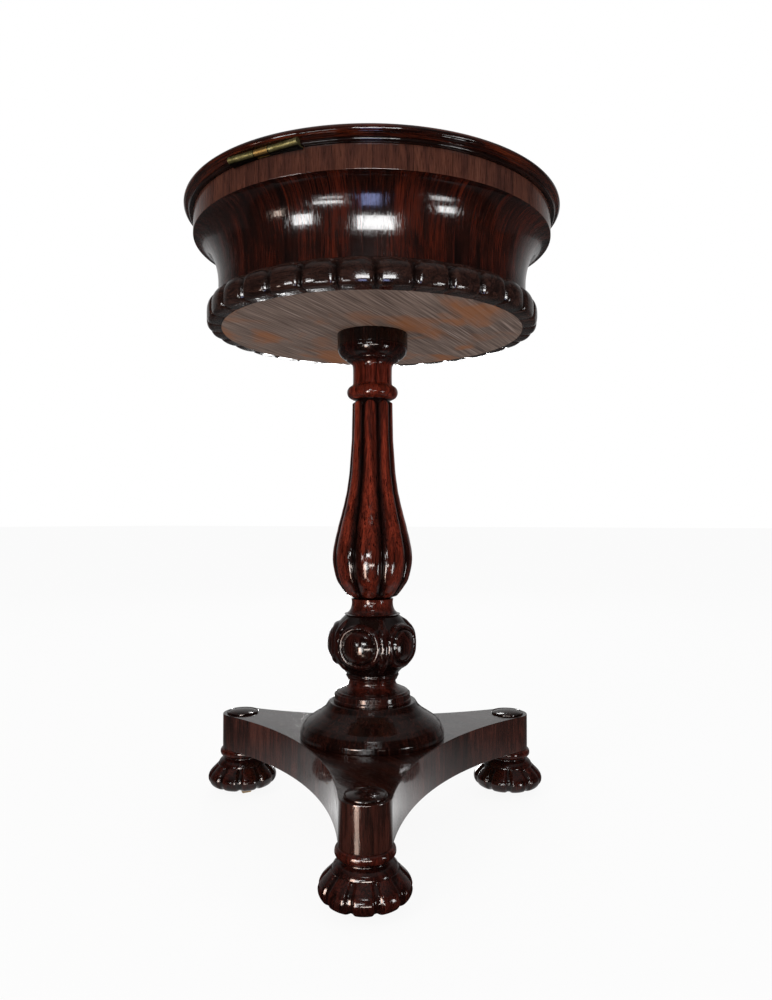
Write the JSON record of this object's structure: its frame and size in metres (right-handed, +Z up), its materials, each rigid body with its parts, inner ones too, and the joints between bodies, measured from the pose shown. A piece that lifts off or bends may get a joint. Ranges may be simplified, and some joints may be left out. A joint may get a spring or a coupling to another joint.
{
  "type": "teapoy",
  "caption": "Circular tea-chest table with a hinged lid, gadrooned cove-sided box on a carved baluster column and tri-form base, on carved feet with concealed castors.",
  "frame": {"origin": "on the floor, under the axis of the column and of the round box", "axes": "+Z up along the column; the lock side of the box faces -Y and the lid is hinged at +Y; one foot of the base points nearly along +X"},
  "size_m": [0.4933, 0.4687, 0.762],
  "materials": {
    "rosewood_veneer": "figured rosewood veneer under a French-polished shellac gloss",
    "carved_rosewood": "solid turned and carved rosewood, waxed and French polished",
    "interior_rosewood": "polished rosewood of the fitted interior",
    "carcass_wood": "planed and stained secondary wood, dull",
    "brass": "old lacquered brass, worn and tarnished",
    "castor_brass": "dark tarnished cast brass",
    "steel": "dull old iron",
    "velvet": "short-pile crimson velvet",
    "cut_glass": "clear cut lead glass"
  },
  "bodies": {
    "stand": {"base_platform": "rosewood_veneer", "base_caps": "carved_rosewood", "plinth_disc": "rosewood_veneer", "column": "carved_rosewood", "column_wedge": "carcass_wood", "top_collar": "carved_rosewood", "collar_screws": "steel", "bottom_board": "carcass_wood", "gadroon_ring": "carved_rosewood", "cove_wall": "rosewood_veneer", "frieze_band": "rosewood_veneer", "deck": "interior_rosewood", "partition_right": "carcass_wood", "partition_left": "carcass_wood", "hinge_box_leaf": "brass", "hinge_pin": "brass", "lock_case": "brass", "escutcheon": "brass", "foot_1": "carved_rosewood", "foot_2": "carved_rosewood", "foot_3": "carved_rosewood", "castor_plate_1": "castor_brass", "castor_plate_2": "castor_brass", "castor_plate_3": "castor_brass", "canister_right": "interior_rosewood", "canister_left": "interior_rosewood", "canister_lid_right": "interior_rosewood", "canister_lid_left": "interior_rosewood", "canister_knob_right": "interior_rosewood", "canister_knob_left": "interior_rosewood", "bowl_ring_back": "interior_rosewood", "bowl_ring_front": "interior_rosewood", "glass_bowl_back": "cut_glass", "glass_bowl_front": "cut_glass"},
    "lid": {"lid_panel": "rosewood_veneer", "lid_rim": "rosewood_veneer", "lid_bead": "rosewood_veneer", "lid_lining": "velvet", "hinge_lid_leaf": "brass", "link_plate": "brass"},
    "lock_bolt": {"lock_bolt": "brass"},
    "castor_swivel_1": {"castor_fork_1": "castor_brass", "castor_axle_1": "steel"},
    "castor_roller_1": {"castor_wheel_1": "castor_brass"},
    "castor_swivel_2": {"castor_fork_2": "castor_brass", "castor_axle_2": "steel"},
    "castor_roller_2": {"castor_wheel_2": "castor_brass"},
    "castor_swivel_3": {"castor_fork_3": "castor_brass", "castor_axle_3": "steel"},
    "castor_roller_3": {"castor_wheel_3": "castor_brass"}
  },
  "joints": [
    {"name": "lid_hinge", "type": "hinge", "parent": "stand", "child": "lid", "pos_m": [0, 0.2262, 0.7492], "axis": [-1, 0, 0], "range_deg": [0, 95]},
    {"name": "lock_throw", "type": "slide", "parent": "stand", "child": "lock_bolt", "axis": [1, 0, 0], "range_m": [0, 0.005]},
    {"name": "castor_1_swivel", "type": "hinge", "parent": "stand", "child": "castor_swivel_1", "pos_m": [0.21283, -0.00855, 0.032], "axis": [0, 0, 1], "continuous": true},
    {"name": "castor_1_roll", "type": "hinge", "parent": "castor_swivel_1", "child": "castor_roller_1", "pos_m": [0.20025, -0.00038, 0.011], "axis": [-0.5446, -0.8387, 0], "continuous": true},
    {"name": "castor_2_swivel", "type": "hinge", "parent": "stand", "child": "castor_swivel_2", "pos_m": [-0.09901, 0.18859, 0.032], "axis": [0, 0, 1], "continuous": true},
    {"name": "castor_2_roll", "type": "hinge", "parent": "castor_swivel_2", "child": "castor_roller_2", "pos_m": [-0.0851, 0.19421, 0.011], "axis": [-0.3746, 0.9272, 0], "continuous": true},
    {"name": "castor_3_swivel", "type": "hinge", "parent": "stand", "child": "castor_swivel_3", "pos_m": [-0.11382, -0.18004, 0.032], "axis": [0, 0, 1], "continuous": true},
    {"name": "castor_3_roll", "type": "hinge", "parent": "castor_swivel_3", "child": "castor_roller_3", "pos_m": [-0.1082, -0.19395, 0.011], "axis": [0.9272, 0.3746, 0], "continuous": true}
  ]
}
